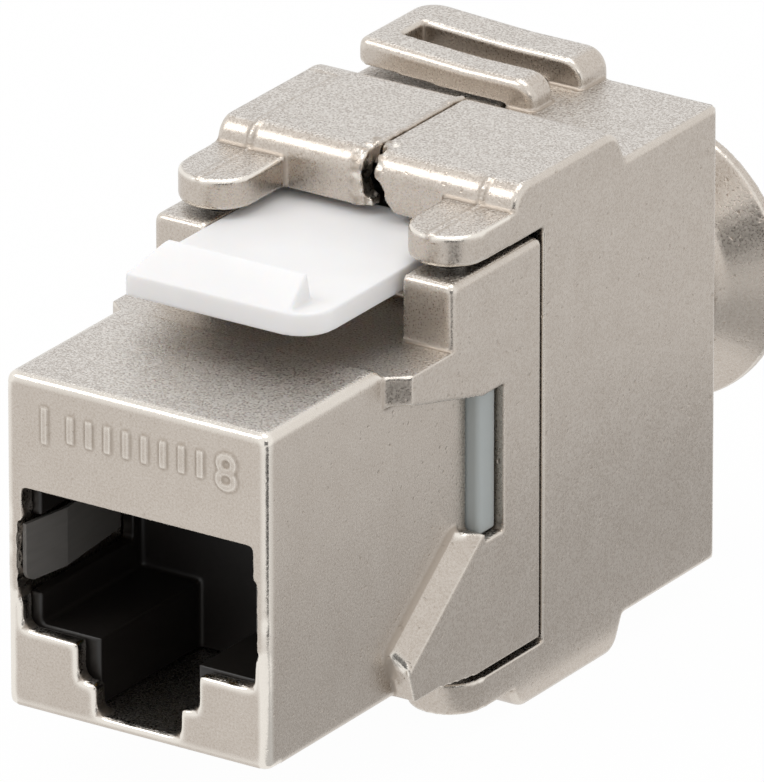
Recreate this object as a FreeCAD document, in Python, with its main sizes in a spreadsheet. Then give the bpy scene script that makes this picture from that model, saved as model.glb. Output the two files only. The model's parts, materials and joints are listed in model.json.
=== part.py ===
import FreeCAD, Part
import math
import os
import re
import Sketcher

# Shielded keystone jack with swinging rear doors. Sizes are in millimetres. The pieces are drawn with
# X across, Y from the front face to the rear and Z up from the underside of the front housing, and
# every piece is then set down so that the origin is the middle of the plug port in the front face.

doc = FreeCAD.newDocument("KeystoneJack")
sheet = doc.addObject("Spreadsheet::Sheet", "Sizes")

SIZES = {
    # Front housing
    "front_width": 14.5,  # front block, across
    "front_height": 16.66,  # front block, high
    "front_depth": 9.47,  # front block, front face to the step in its top
    "step_drop": 0.36,  # step down behind the front block
    "front_wall": 1.0,  # cast wall round the plug port
    "side_wall": 0.6,  # cast side wall and floor
    "roof_wall": 1.1,  # cast roof behind the front block
    "front_round": 0.4,  # rounding of the front block
    "housing_length": 21.2,  # front face to the rear of the cheeks
    "overhang": 1.05,  # how far the cheeks and doors stand out beside the front block
    "cheek_length": 7.45,  # cheeks, long
    "cheek_rise": 2.89,  # cheeks above the front block
    "cheek_round": 0.35,  # rounding of the cheeks
    "cheek_width": 2.8,  # cheek, across
    "cheek_low": -0.55,  # underside of the cheeks
    "wing_sweep": 0.92,  # run of the wing's slanting front
    "wing_height": 1.85,  # top of the front block to the wing's lower front corner
    "wing_step": 0.31,  # side window to the wing's lower rear corner
    "window_drop": 3.36,  # top of the front block to the top of the side window
    "window_low": 5.94,  # bottom of the side window
    "window_width": 1.6,  # side window, wide
    "window_inset": 3.1,  # rear of the cheeks to the side window
    "ramp_gap": 0.62,  # side window to the upper end of the ramp's edge
    "ramp_length": 5.18,  # ramp's edge, long
    "ramp_foot_height": 1.56,  # height of the lower end of the ramp edge
    "ramp_bevel": 0.85,  # bevel along the ramp
    "ramp_top_run": 0.6,  # upper end of the ramp's edge to the upper end of its bevel, along
    "ramp_top_rise": 0.68,  # upper end of the ramp's edge to the upper end of its bevel, upwards
    "ramp_flat": 1.8,  # flat under the lower end of the ramp, long
    "ramp_sag": 0.05,  # drop at the rear of that flat
    "ramp_tip": 0.1,  # how far that flat reaches in front of the ramp
    "past": 1.0,  # reach of a cut past the face it opens
    "lap": 0.5,  # overlap where one block grows out of another

    # Plug port
    "port_middle": 7.5,  # height of the middle of the plug port
    "port_side": 0.9,  # side of the front block to the opening
    "port_high": 11.05,  # top of the opening
    "shield_flare": 0.25,  # how much wider the opening is at the ground springs, each side
    "shield_slot_high": 9.4,  # top of the wider stretch
    "shield_slot_low": 5.5,  # bottom of the wider stretch
    "shelf_height": 4.0,  # shelves that carry the plug
    "shelf_inner": 6.6,  # gap between the shelves
    "latch_step_height": 2.15,  # small steps beside the plug's latch
    "latch_slot": 4.6,  # slot for the plug's latch, across

    # Inner pieces
    "fit_gap": 0.05,  # gap between the cast housing and what sits in it
    "insert_inset": 8.0,  # rear of the cheeks to the rear of the port insert
    "plug_inset": 0.4,  # opening to the plug channel, each side
    "plug_depth": 9.2,  # plug channel, deep
    "lip_depth": 1.2,  # front lip of the insert above the channel
    "slot_flare": 0.4,  # how much wider than the latch slot the insert is cut, each side
    "spring_short": 0.6,  # rear of the plug channel to the rear of the opening for a ground spring
    "carrier_inset": 0.95,  # plug channel to the contact carrier, each side
    "carrier_front": 4.6,  # front face to the front of the carrier
    "carrier_thick": 1.9,  # contact carrier, thick
    "groove_width": 0.44,  # groove for a contact wire
    "contact_pitch": 1.016,  # from contact to contact
    "contact_wire": 0.36,  # contact wire, diameter
    "contact_drop": 2.51,  # top of the front block to the straight run of a contact
    "contact_bend": 3.7,  # front face to the bend of a contact
    "contact_bend_radius": 0.75,  # bend of a contact
    "contact_bend_ease": 0.04,  # what the two turns of a bend are tighter
    "contact_room": 1.0,  # room under the free ends of the contacts
    "contact_tip": 9.3,  # front face to the free end of a contact
    "contact_tip_height": 9.3,  # height of the free end of a contact
    "board_gap": 0.8,  # gap between the insert and the circuit board
    "board_thick": 1.2,  # circuit board, thick
    "board_standoff": 0.2,  # gap between the circuit board and the terminal block
    "board_clearance": 0.15,  # gap round the circuit board
    "leaf_thick": 0.2,  # ground spring, thick
    "leaf_low": 6.2,  # lower edge of a ground spring
    "leaf_height": 2.9,  # ground spring, high
    "leaf_front": 0.4,  # front face to the front edge of a ground spring
    "leaf_inset": 0.25,  # side of the opening to the front edge of a ground spring
    "leaf_crest": 3.1,  # front face to the crest of a ground spring
    "leaf_bulge": 0.05,  # how far a ground spring stands into the plug channel
    "leaf_short": 1.0,  # rear of the plug channel to the rear edge of a ground spring
    "leaf_rest": 0.25,  # cast side to the rear edge of a ground spring
    "leaf_corner": 0.6,  # rounding of its lower front corner

    # Terminals
    "neck_reach": 0.1,  # cheeks to the rear of the block's neck
    "block_head": 2.5,  # head of the terminal block, deep
    "block_inset": 1.35,  # side of the doors to the side of the terminal block
    "block_low": -0.2,  # underside of the head of the block
    "block_rise": 0.24,  # head of the terminal block above the front block
    "lug_reveal": 0.42,  # how deep the block's lug lies in the side window
    "lug_gap": 0.1,  # gap round the lug in its window
    "blade_pitch": 3.1,  # from terminal blade to terminal blade
    "blade_drop": 4.26,  # top of the front block to the upper row of blades
    "blade_lower": 3.2,  # height of the lower row of blades
    "blade_width": 2.2,  # terminal blade, across
    "blade_thick": 0.4,  # terminal blade, thick
    "blade_tail": 0.9,  # tail of a blade, across
    "blade_shoulder": 1.0,  # front of the block to the shoulders of a blade
    "blade_reach": 3.2,  # terminal block to the tips of the blades
    "blade_slot": 0.45,  # wire slot of a blade, across
    "blade_slot_depth": 2.4,  # wire slot of a blade, deep
    "blade_mouth": 0.5,  # lead-in at the tip of a blade

    # Wire cap
    "cap_gap": 0.2,  # gap between the block and the wire cap
    "cap_length": 9.6,  # wire cap, deep
    "cap_slot_width": 1.3,  # slot for a conductor, across
    "cap_slot_depth": 2.6,  # slot for a conductor, deep
    "cap_cavity": 4.2,  # depth of the cavity for a blade
    "cap_bore": 4.0,  # radius of the bore for the cable's conductors
    "cap_bore_depth": 6.0,  # depth of that bore

    # Latch
    "latch_front": 7.08,  # front face to the front edge of the latch
    "latch_side_gap": 0.3,  # mean gap between the latch and a cheek
    "latch_shift": -0.2,  # sideways rest of the latch in its bay
    "latch_room": 1.69,  # room under the latch, for its travel
    "latch_thick": 1.15,  # latch, thick
    "latch_left_corner": 0.15,  # rounding of the latch's left front corner
    "latch_right_corner": 1.8,  # rounding of the latch's right front corner
    "ridge_left_inset": 0.1,  # left side of the latch to the left foot of the catch ridge
    "ridge_lean": 1.31,  # left foot of the ridge to the left end of its crest
    "ridge_right_inset": 1.36,  # right side of the latch to the right end of the ridge
    "ridge_height": 1.5,  # catch ridge above the latch
    "ridge_inset": 0.08,  # front edge of the latch to the foot of the ridge
    "ridge_slope": 1.57,  # foot of the ridge to its crest
    "ridge_back": 0.35,  # run of the ridge's rear face
    "bead_inset": 1.6,  # rear of the cheeks to the latch's root bead
    "bead_rise": 0.74,  # middle of the root bead above the front block
    "bead_radius": 1.0,  # root bead, radius
    "bead_gap": 0.1,  # gap between the root bead and its seat
    "rib_thick": 0.5,  # ribs that hold the root bead
    "neck_rear": 0.9,  # latch neck behind the middle of the bead

    # Doors
    "door_gap": 0.25,  # gap between the cheeks and the doors
    "ear_gap": 0.35,  # gap between the cheeks and the ears
    "ear_thick": 1.55,  # ear, thick
    "ear_width": 3.87,  # ear, across
    "hinge_inset": 4.77,  # rear of the cheeks to the hinge axes
    "nose_reach": 2.25,  # rear of the cheeks to the noses of the doors
    "nose_round": 1.15,  # rounding of the noses
    "door_rise": 2.7,  # underside of the upper ears to the top of the doors
    "door_step": 1.6,  # step down in the top of the doors
    "step_place": 6.5,  # rear of the cheeks to the top of the step
    "step_run": 0.75,  # run of the step
    "step_round": 1.1,  # rounding of the step's top edge
    "door_length": 15.2,  # rear of the cheeks to the rear of the doors
    "door_wall": 1.0,  # wall of the doors
    "edge_bevel": 0.6,  # bevel inside the front edge of a door's side
    "seam_gap": 0.12,  # gap between the two doors
    "rail_width": 1.93,  # low strip along the left side of the left door's top, wide
    "rail_drop": 0.07,  # depth of that strip
    "door_round": 0.3,  # rounding of the doors' long edges
    "notch_side": 0.26,  # half width of the seam's mouth in the left nose
    "notch_wide": 0.42,  # half width of the seam's mouth in the right nose
    "notch_depth": 1.3,  # depth of the seam's mouth
    "notch_drop": 0.4,  # top of the left nose to the kink of the mouth
    "notch_step": 0.6,  # step in the right side of the mouth, across
    "notch_step_height": 1.1,  # height of that step above the ears' underside
    "notch_spread": 1.1,  # spread of the mouth at its foot
    "notch_foot": 0.1,  # height of that spread above the ears' underside
    "tongue_reach": 0.3,  # reach of the left door's tongue past the middle
    "tongue_high": 0.6,  # tongue, high
    "pin_radius": 0.8,  # hinge pin, radius
    "pin_gap": 0.05,  # running gap round a hinge pin
    "pin_seat": 2.2,  # how deep an upper hinge pin sits in its cheek
    "low_pin_seat": 1.0,  # how deep a lower hinge pin sits in its cheek
    "pin_blind": 1.05,  # depth of the blind hole in an ear
    "pin_end_gap": 0.15,  # gap at the end of a hinge pin

    # Cable collar
    "collar_drop": 0.4,  # middle of the doors to the middle of the collar
    "cable_radius": 4.2,  # bore of the collar, radius
    "collar_wall": 0.8,  # wall of the collar
    "neck_length": 5.5,  # straight neck of the collar, long
    "rim_flare": 1.77,  # flare between the neck and the rim, long
    "rim_thick": 0.73,  # rim of the collar, thick
    "rim_radius": 7.2,  # rim of the collar, radius
    "rim_edge": 0.1,  # bevel of the rim, along
    "rim_taper": 0.15,  # bevel of the rim, radial
    "rim_lip": 0.7,  # land on the rear face of the rim
    "collar_round": 1.0,  # hollow round between neck and rim

    # Clasp of the right door
    "clasp_reach": 5.6,  # rear of the doors to the front of the clasp
    "clasp_rear_arm": 2.47,  # rear arm of the clasp, wide
    "clasp_front_arm": 1.8,  # front arm of the clasp, wide
    "clasp_slot": 1.83,  # slot of the clasp, wide
    "clasp_bar": 1.45,  # end bar of the clasp, wide
    "clasp_front_end": 1.6,  # middle to the right end of the front arm
    "clasp_rear_end": 1.97,  # middle to the right end of the rear arm
    "clasp_foot": 0.3,  # middle to the left side of the clasp's feet
    "clasp_gap": 0.12,  # gap under the clasp
    "clasp_rise": 0.3,  # rise of the clasp's free end
    "clasp_kink": 2.3,  # middle to where the clasp starts to rise
    "clasp_thick": 1.3,  # clasp, thick
    "clasp_round": 1.1,  # rounding of the arms' right ends
    "clasp_front_corner": 0.5,  # rounding of the clasp's left front corner
    "clasp_rear_corner": 1.3,  # rounding of the clasp's left rear corner
    "clasp_edge": 0.45,  # rounding of the clasp's outer upper edges
    "clasp_slot_edge": 0.2,  # rounding of the upper edges of its slot
}
for row, (alias, number) in enumerate(SIZES.items(), start=1):
    sheet.set(f"A{row}", alias)
    sheet.set(f"B{row}", str(number))
    sheet.setAlias(f"B{row}", alias)
doc.recompute()

# Places and sizes that follow from those in the sheet
RULES = {
    "overall_width": "front_width + 2 * overhang",
    "cheek_top": "front_height + cheek_rise",
    "middle_height": "(cheek_top + cheek_low) / 2",
    "wing_lip": "front_height - wing_height",
    "window_high": "front_height - window_drop",
    "ear_low": "cheek_top + ear_gap",
    "door_top": "ear_low + door_rise",
    "door_rear_top": "door_top - door_step",
    "latch_low": "front_height + latch_room",
    "bead_height": "front_height + bead_rise",
    "contact_run": "front_height - contact_drop",
    "blade_upper": "front_height - blade_drop",
    "block_high": "front_height + block_rise",
    "collar_height": "middle_height - collar_drop",
    "block_neck_rear": "housing_length + neck_reach",
    "block_rear": "block_neck_rear + block_head",
    "blade_tip": "block_rear + blade_reach",
    "cap_rear": "block_rear + cap_gap + cap_length",
    "hinge_place": "housing_length - hinge_inset",
    "nose_front": "housing_length - nose_reach",
    "step_front": "housing_length + step_place",
    "step_rear": "step_front + step_run",
    "door_rear": "housing_length + door_length",
    "collar_neck": "door_rear + neck_length",
    "rim_front": "collar_neck + rim_flare",
    "rim_rear": "rim_front + rim_thick",
    "clasp_front": "door_rear - clasp_reach",
    "clasp_slot_front": "clasp_front + clasp_front_arm",
    "clasp_slot_rear": "clasp_slot_front + clasp_slot",
    "clasp_rear": "clasp_slot_rear + clasp_rear_arm",
    "bead_place": "housing_length - bead_inset",
    "window_front": "window_rear - window_width",
    "window_rear": "housing_length - window_inset",
    "wing_rear": "window_front - wing_step",
    "ramp_top": "window_front - ramp_gap",
    "ramp_foot": "ramp_top - ramp_length",
    "cheek_front": "housing_length - cheek_length",
    "insert_rear": "housing_length - insert_inset",
    "port_width": "front_width - 2 * port_side",
    "shield_slot_width": "port_width + 2 * shield_flare",
    "plug_width": "port_width - 2 * plug_inset",
    "carrier_width": "plug_width - 2 * carrier_inset",
    "leaf_front_side": "shield_slot_width / 2 - leaf_inset",
    "leaf_crest_side": "plug_width / 2 - leaf_bulge",
    "leaf_rear_side": "front_width / 2 - side_wall - leaf_rest",
    "block_width": "overall_width - 2 * block_inset",
    "bay_width": "overall_width - 2 * cheek_width",
    "latch_width": "bay_width - 2 * latch_side_gap",
    "rail_place": "overall_width / 2 - rail_width",
    "leaf_rear": "plug_depth - leaf_short",
    "spring_rear": "plug_depth - spring_short",
}
WORD = re.compile(r"[a-z][a-z_]*")
PLANE_ROLES = {"front": "XZ_Plane", "side": "YZ_Plane", "plan": "XY_Plane"}
# The world direction of each plane's own normal: the front plane's normal points at the viewer.
NORMAL_SIGNS = {"front": -1, "side": 1, "plan": 1}
HALF_TURN = 180
CONTACTS = 8
BLADES = 4
pieces = []


def named(word):
    name = word.group()
    if name in RULES:
        return f"({bound(RULES[name])})"
    return f"Sizes.{name}" if name in SIZES else name


def bound(text):
    """The expression with each rule written out and the sheet named in front of each size."""
    return WORD.sub(named, str(text))


def value(text):
    return float(sheet.evalExpression(bound(text)))


def mirrored(text):
    """The height that mirrors a given one about the middle of the doors."""
    return f"2 * middle_height - ({text})"


def new_body(label):
    body = doc.addObject("PartDesign::Body", label)
    body.Label = label
    body.setExpression("Placement.Base.z", bound("-port_middle"))
    pieces.append(body)
    return body


def new_sketch(body, plane, offset="0"):
    sketch = body.newObject("Sketcher::SketchObject", "Sketch")
    support = [f for f in body.Origin.OriginFeatures if f.Role == PLANE_ROLES[plane]][0]
    sketch.AttachmentSupport = [(support, "")]
    sketch.MapMode = "FlatFace"
    sketch.setExpression("AttachmentOffset.Base.z", bound(f"{NORMAL_SIGNS[plane]} * ({offset})"))
    return sketch


def pin_point(sketch, geometry, position, across, along):
    """Fixes a sketch point at two expressions, measured from the sketch's origin."""
    for kind, axis, text in (("DistanceX", -2, across), ("DistanceY", -1, along)):
        if text == "0":
            sketch.addConstraint(Sketcher.Constraint("PointOnObject", geometry, position, axis))
            continue
        index = sketch.addConstraint(Sketcher.Constraint(kind, -1, 1, geometry, position, value(text)))
        sketch.setExpression(f"Constraints[{index}]", bound(text))


def polygon(sketch, corners):
    points = [FreeCAD.Vector(value(a), value(b), 0) for a, b in corners]
    first = sketch.GeometryCount
    count = len(points)
    for i in range(count):
        sketch.addGeometry(Part.LineSegment(points[i], points[(i + 1) % count]))
    for i in range(count):
        following = first + (i + 1) % count
        sketch.addConstraint(Sketcher.Constraint("Coincident", first + i, 2, following, 1))
    for i, (across, along) in enumerate(corners):
        pin_point(sketch, first + i, 1, across, along)
    return sketch


def rectangle(sketch, left, right, low, high):
    return polygon(sketch, [(left, low), (right, low), (right, high), (left, high)])


def circle(sketch, across, along, radius):
    centre = FreeCAD.Vector(value(across), value(along), 0)
    index = sketch.addGeometry(Part.Circle(centre, FreeCAD.Vector(0, 0, 1), value(radius)))
    pin_point(sketch, index, 3, across, along)
    rule = sketch.addConstraint(Sketcher.Constraint("Radius", index, value(radius)))
    sketch.setExpression(f"Constraints[{rule}]", bound(radius))
    return sketch


def grow(body, sketch, plane, length, towards=1):
    feature = body.newObject("PartDesign::Pad", "Pad")
    feature.Profile = sketch
    feature.setExpression("Length", bound(length))
    feature.Reversed = towards != NORMAL_SIGNS[plane]
    sketch.Visibility = False
    doc.recompute()
    return feature


def cut(body, sketch, plane, length, towards=1):
    before = body.Shape.Volume
    feature = body.newObject("PartDesign::Pocket", "Pocket")
    feature.Profile = sketch
    feature.setExpression("Length", bound(length))
    feature.Reversed = towards == NORMAL_SIGNS[plane]
    doc.recompute()
    if round(before - body.Shape.Volume, 3) <= 0:
        raise ValueError(f"a pocket of {body.Label} removes nothing")
    return feature


def block(body, left, right, front, rear, low, high):
    """A rectangular pad, drawn on the plan and grown upwards."""
    sketch = rectangle(new_sketch(body, "plan", low), left, right, front, rear)
    return grow(body, sketch, "plan", f"({high}) - ({low})")


def hollow(body, left, right, front, rear, low, high):
    """A rectangular pocket, drawn on the plan at its top and cut downwards."""
    sketch = rectangle(new_sketch(body, "plan", high), left, right, front, rear)
    return cut(body, sketch, "plan", f"({high}) - ({low})", -1)


def edges_on(shape, middle=None, **planes):
    """The names of the edges that lie on the given planes, such as x='front_width / 2'.

    A middle, as Y and Z, narrows them to the one edge with its midpoint there.
    """
    names = []
    for i, edge in enumerate(shape.Edges):
        centre = edge.CenterOfMass
        points = [edge.valueAt(edge.FirstParameter), edge.valueAt(edge.LastParameter), centre]
        gaps = [getattr(point, axis) - value(text) for point in points for axis, text in planes.items()]
        if middle is not None:
            gaps += [centre.y - value(middle[0]), centre.z - value(middle[1])]
        fits = all(round(gap, 2) == 0 for gap in gaps)
        if fits:
            names.append(f"Edge{i + 1}")
    return names


def soften(body, radius, *choices, kind="Fillet"):
    """Rounds or bevels the edges that lie on the planes of each choice."""
    tip = body.Tip
    names = sorted({name for planes in choices for name in edges_on(tip.Shape, **planes)})
    if not names:
        raise ValueError(f"no edge of {body.Label} to soften")
    feature = body.newObject("PartDesign::" + kind, kind)
    feature.Base = (tip, names)
    feature.setExpression("Radius" if kind == "Fillet" else "Size", bound(radius))
    doc.recompute()
    if not feature.isValid():
        raise ValueError(f"softening {names} of {body.Label} failed")
    return feature


def both_sides(text):
    return (f"-({text})", f"({text})")


def signed(sign, text):
    return f"{sign} * ({text})"


def spread(sign, inner, outer):
    """Two places on one side of the middle, the left one first."""
    return sorted((signed(sign, inner), signed(sign, outer)), key=value)


def row_place(pitch, index, count):
    """The place of one member of a row that is centred on the middle."""
    return f"{pitch} * {index - (count - 1) / 2}"


# Heights and places that several pieces share
SIDE = "overall_width / 2"
FRONT_SIDE = "front_width / 2"
INNER_SIDE = "front_width / 2 - side_wall"
BACK_TOP = "front_height - step_drop"
CEILING = "front_height - step_drop - roof_wall"
HINGE_X = "overall_width / 2 - ear_width / 2"
EAR_HIGH = "ear_low + ear_thick"
LATCH_HIGH = "latch_low + latch_thick"
BOARD_FRONT = "insert_rear + board_gap"
BOARD_REAR = "insert_rear + board_gap + board_thick"
BLOCK_FRONT = "insert_rear + board_gap + board_thick + board_standoff"
CAP_FRONT = "block_rear + cap_gap"
PIN_ENDS = (("upper", "cheek_top", "pin_seat", 1), ("lower", mirrored("cheek_top"), "low_pin_seat", -1))


def make_front_housing():
    """The cast front: plug port, side wings, cheeks that carry the hinges, and the tunnel behind."""
    body = new_body("front_housing")
    outline = rectangle(new_sketch(body, "front"), *both_sides(FRONT_SIDE), "0", "front_height")
    grow(body, outline, "front", "housing_length")
    soften(body, "front_round", {"y": "0"}, {"z": "front_height", "x": FRONT_SIDE},
           {"z": "front_height", "x": "-" + FRONT_SIDE}, {"z": "0", "x": FRONT_SIDE},
           {"z": "0", "x": "-" + FRONT_SIDE})
    hollow(body, *both_sides("overall_width"), "front_depth", "housing_length + past", BACK_TOP,
           "front_height + past")
    ramp = [("ramp_foot - ramp_bevel", "ramp_foot_height + ramp_bevel"),
            ("ramp_top - ramp_top_run", "window_low + ramp_top_rise")]
    for sign in (1, -1):
        # The proud side: wing above, strip behind the window and ramp below, in one outline.
        root = f"{INNER_SIDE} + side_wall / 2"
        panel = new_sketch(body, "side", signed(sign, root))
        polygon(panel, [
            ("front_depth", BACK_TOP), ("cheek_front", BACK_TOP), ("cheek_front", "cheek_top"),
            ("housing_length", "cheek_top"), ("housing_length", mirrored("cheek_top")),
            ("ramp_top", mirrored("cheek_top")), ("ramp_foot + ramp_flat", "-ramp_sag"),
            ("ramp_foot - ramp_tip", "0"), *ramp, ("window_rear", "window_low"),
            ("window_rear", "window_high"), ("wing_rear", "window_high"),
            ("front_depth + wing_sweep", "wing_lip"), ("front_depth", "wing_lip")])
        grow(body, panel, "side", f"{SIDE} - ({root})", sign)
        middle = [f"({low} + {high}) / 2" for low, high in zip(*ramp)]
        soften(body, "ramp_bevel", {"x": signed(sign, SIDE), "middle": middle}, kind="Chamfer")
        # The wing's front slants out to the full width.
        sweep = new_sketch(body, "plan", "wing_lip - past")
        outside = signed(sign, f"{SIDE} + past")
        swept = "front_depth + wing_sweep"
        polygon(sweep, [(signed(sign, FRONT_SIDE), "front_depth"), (outside, "front_depth"), (outside, swept),
                        (signed(sign, SIDE), swept)])
        cut(body, sweep, "plan", "front_height", 1)
        left, right = spread(sign, "bay_width / 2", SIDE)
        block(body, left, right, "cheek_front", "housing_length", f"{BACK_TOP} - roof_wall / 2", "cheek_top")
        block(body, left, right, "ramp_top", "housing_length", mirrored("cheek_top"), "side_wall")
        soften(body, "cheek_round", {"x": signed(sign, SIDE), "z": "cheek_top"},
               {"y": "cheek_front", "z": "cheek_top"}, {"y": "housing_length", "z": "cheek_top"},
               {"y": "cheek_front", "x": signed(sign, SIDE)})
    hollow(body, *both_sides(INNER_SIDE), "front_wall", "housing_length + past", "side_wall", CEILING)
    port = new_sketch(body, "front")
    right_side = [
        ("latch_slot / 2", "side_wall"), ("latch_slot / 2", "latch_step_height"),
        ("shelf_inner / 2", "latch_step_height"), ("shelf_inner / 2", "shelf_height"),
        ("port_width / 2", "shelf_height"), ("port_width / 2", "shield_slot_low"),
        ("shield_slot_width / 2", "shield_slot_low"), ("shield_slot_width / 2", "shield_slot_high"),
        ("port_width / 2", "shield_slot_high"), ("port_width / 2", "port_high")]
    left_side = [("-" + across, height) for across, height in reversed(right_side)]
    polygon(port, right_side + left_side)
    cut(body, port, "front", "front_wall + past")
    for sign in (1, -1):
        window = rectangle(new_sketch(body, "side", signed(sign, f"{SIDE} + past")),
                           "window_front", "window_rear", "window_low", "window_high")
        cut(body, window, "side", f"{SIDE} + 2 * past - ({INNER_SIDE})", -sign)
    ribs = [("bead_place - bead_radius - bead_gap - rib_thick", "bead_place - bead_radius - bead_gap"),
            ("bead_place + bead_radius + bead_gap", "housing_length")]
    for front, rear in ribs:
        block(body, *both_sides("bay_width / 2"), front, rear, f"{BACK_TOP} - roof_wall / 2", "bead_height")
    for sign in (1, -1):
        for end, height, depth, direction in PIN_ENDS:
            hole = new_sketch(body, "plan", height)
            circle(hole, signed(sign, HINGE_X), "hinge_place", "pin_radius")
            cut(body, hole, "plan", depth, -direction)
    return body


def make_port_insert():
    """The black liner of the port: plug channel, side recesses for the springs, room for the contacts."""
    body = new_body("port_insert")
    half = f"({INNER_SIDE} - fit_gap)"
    front = "front_wall + fit_gap"
    outline = rectangle(new_sketch(body, "front", front), *both_sides(half), "side_wall + fit_gap",
                        f"{CEILING} - fit_gap")
    grow(body, outline, "front", f"insert_rear - ({front})")
    channel = rectangle(new_sketch(body, "front"), *both_sides("plug_width / 2"), "shelf_height", "port_high")
    cut(body, channel, "front", "plug_depth")
    slot = rectangle(new_sketch(body, "front"), *both_sides("latch_slot / 2 + slot_flare"), "0",
                     "shelf_height + past")
    cut(body, slot, "front", "plug_depth")
    for sign in (1, -1):
        left, right = spread(sign, "plug_width / 2 - past", f"{half} + past")
        hollow(body, left, right, "0", "spring_rear", "shield_slot_low", "shield_slot_high")
    hollow(body, *both_sides("carrier_width / 2 + fit_gap"), "front_wall + lip_depth", "insert_rear + past",
           "contact_tip_height - contact_room", f"{CEILING} + past")
    return body


def make_contact_carrier():
    """The comb that holds the contact wires under the roof of the insert."""
    body = new_body("contact_carrier")
    top = f"{CEILING} - fit_gap"
    low = f"{CEILING} - fit_gap - carrier_thick"
    block(body, *both_sides("carrier_width / 2"), "carrier_front", "insert_rear", low, top)
    for index in range(CONTACTS):
        middle = row_place("contact_pitch", index, CONTACTS)
        hollow(body, f"{middle} - groove_width / 2", f"{middle} + groove_width / 2", "carrier_front - past",
               "insert_rear + past", f"{low} - past", "contact_run + groove_width / 2")
    return body


def bent_path(points, radii):
    """Straight edges joined by tangent arcs: one radius for each inner point."""
    edges = []
    start = points[0]
    for before, corner, after, radius in zip(points, points[1:], points[2:], radii):
        into = (corner - before).normalize()
        out = (after - corner).normalize()
        half_turn = into.getAngle(out) / 2
        reach = radius * math.tan(half_turn)
        first = corner - into * reach
        last = corner + out * reach
        inward = (out - into).normalize()
        middle = corner + inward * (radius / math.cos(half_turn) - radius)
        edges.append(Part.LineSegment(start, first).toShape())
        edges.append(Part.Arc(first, middle, last).toShape())
        start = last
    edges.append(Part.LineSegment(start, points[-1]).toShape())
    return Part.Wire(edges)


def new_feature(label, shape):
    feature = doc.addObject("Part::Feature", label)
    feature.Label = label
    feature.Shape = shape
    feature.Placement = FreeCAD.Placement(FreeCAD.Vector(0, 0, value("-port_middle")), FreeCAD.Rotation())
    pieces.append(feature)
    return feature


def make_contact(index):
    """A gold-plated wire: tail in the board, straight run in the comb, hairpin, and a sprung slope."""
    across = value(row_place("contact_pitch", index, CONTACTS))
    radius = value("contact_wire") / 2
    bend = value("contact_bend_radius")
    front = value("contact_bend")
    run = value("contact_run")
    drop = 2 * bend
    places = [(value(BOARD_REAR), run), (front, run), (front, run - drop),
              (value("contact_tip"), value("contact_tip_height"))]
    points = [FreeCAD.Vector(across, y, z) for y, z in places]
    slope = (points[3] - points[2]).normalize()
    lower_turn = FreeCAD.Vector(0, 0, -1).getAngle(slope)
    reach = bend - value("contact_bend_ease")
    radii = [reach, reach / math.tan(lower_turn / 2)]
    path = bent_path(points, radii)
    section = Part.Wire(Part.makeCircle(radius, points[0], FreeCAD.Vector(0, 1, 0)))
    return new_feature(f"contact_{index + 1}", path.makePipeShell([section], True, False))


def make_ground_spring(label, sign):
    """A bent leaf between the plug channel and the cast side, that touches the plug's shield."""
    body = new_body(label)
    line = [("leaf_front_side", "leaf_front"), ("leaf_crest_side", "leaf_crest"),
            ("leaf_rear_side", "leaf_rear")]
    outline = [(signed(sign, x), y) for x, y in line]
    outline += [(signed(sign, f"{x} + leaf_thick"), y) for x, y in reversed(line)]
    grow(body, polygon(new_sketch(body, "plan", "leaf_low"), outline), "plan", "leaf_height")
    soften(body, "leaf_corner", {"y": "leaf_front", "z": "leaf_low"})
    return body


def blade_places():
    for row, height in (("upper", "blade_upper"), ("lower", "blade_lower")):
        for index in range(BLADES):
            yield row, index, row_place("blade_pitch", index, BLADES), height


def make_circuit_board():
    body = new_body("circuit_board")
    outline = new_sketch(body, "front", BOARD_FRONT)
    rectangle(outline, *both_sides(f"{INNER_SIDE} - board_clearance"), "side_wall + board_clearance",
              f"{CEILING} - board_clearance")
    grow(body, outline, "front", "board_thick")
    holes = new_sketch(body, "front", BOARD_FRONT)
    for index in range(CONTACTS):
        circle(holes, row_place("contact_pitch", index, CONTACTS), "contact_run", "contact_wire / 2")
    for row, index, across, height in blade_places():
        rectangle(holes, f"{across} - blade_tail / 2", f"{across} + blade_tail / 2",
                  f"{height} - blade_thick / 2", f"{height} + blade_thick / 2")
    cut(body, holes, "front", "board_thick")
    return body


def make_terminal_block():
    """The pale block behind the board: neck in the housing, wider head, lugs in the side windows."""
    body = new_body("terminal_block")
    neck = rectangle(new_sketch(body, "front", BLOCK_FRONT), *both_sides(f"{INNER_SIDE} - fit_gap"),
                     "side_wall + fit_gap", f"{CEILING} - fit_gap")
    grow(body, neck, "front", f"block_neck_rear - ({BLOCK_FRONT}) + lap")
    head = new_sketch(body, "front", "block_neck_rear")
    rectangle(head, *both_sides("block_width / 2"), "block_low", "block_high")
    grow(body, head, "front", "block_rear - block_neck_rear")
    for sign in (1, -1):
        left, right = spread(sign, f"{INNER_SIDE} - lap", f"{SIDE} - lug_reveal")
        block(body, left, right, "window_front + lug_gap", "window_rear - lug_gap", "window_low + lug_gap",
              "window_high - lug_gap")
    lug_edges = [{"x": x, "y": "window_front + lug_gap"} for x in both_sides(f"{SIDE} - lug_reveal")]
    soften(body, "lug_reveal / 2", *lug_edges)
    slots = new_sketch(body, "front", BLOCK_FRONT)
    for row, index, across, height in blade_places():
        rectangle(slots, f"{across} - blade_width / 2", f"{across} + blade_width / 2",
                  f"{height} - blade_thick / 2", f"{height} + blade_thick / 2")
    cut(body, slots, "front", f"block_rear - ({BLOCK_FRONT}) + past")
    return body


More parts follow.
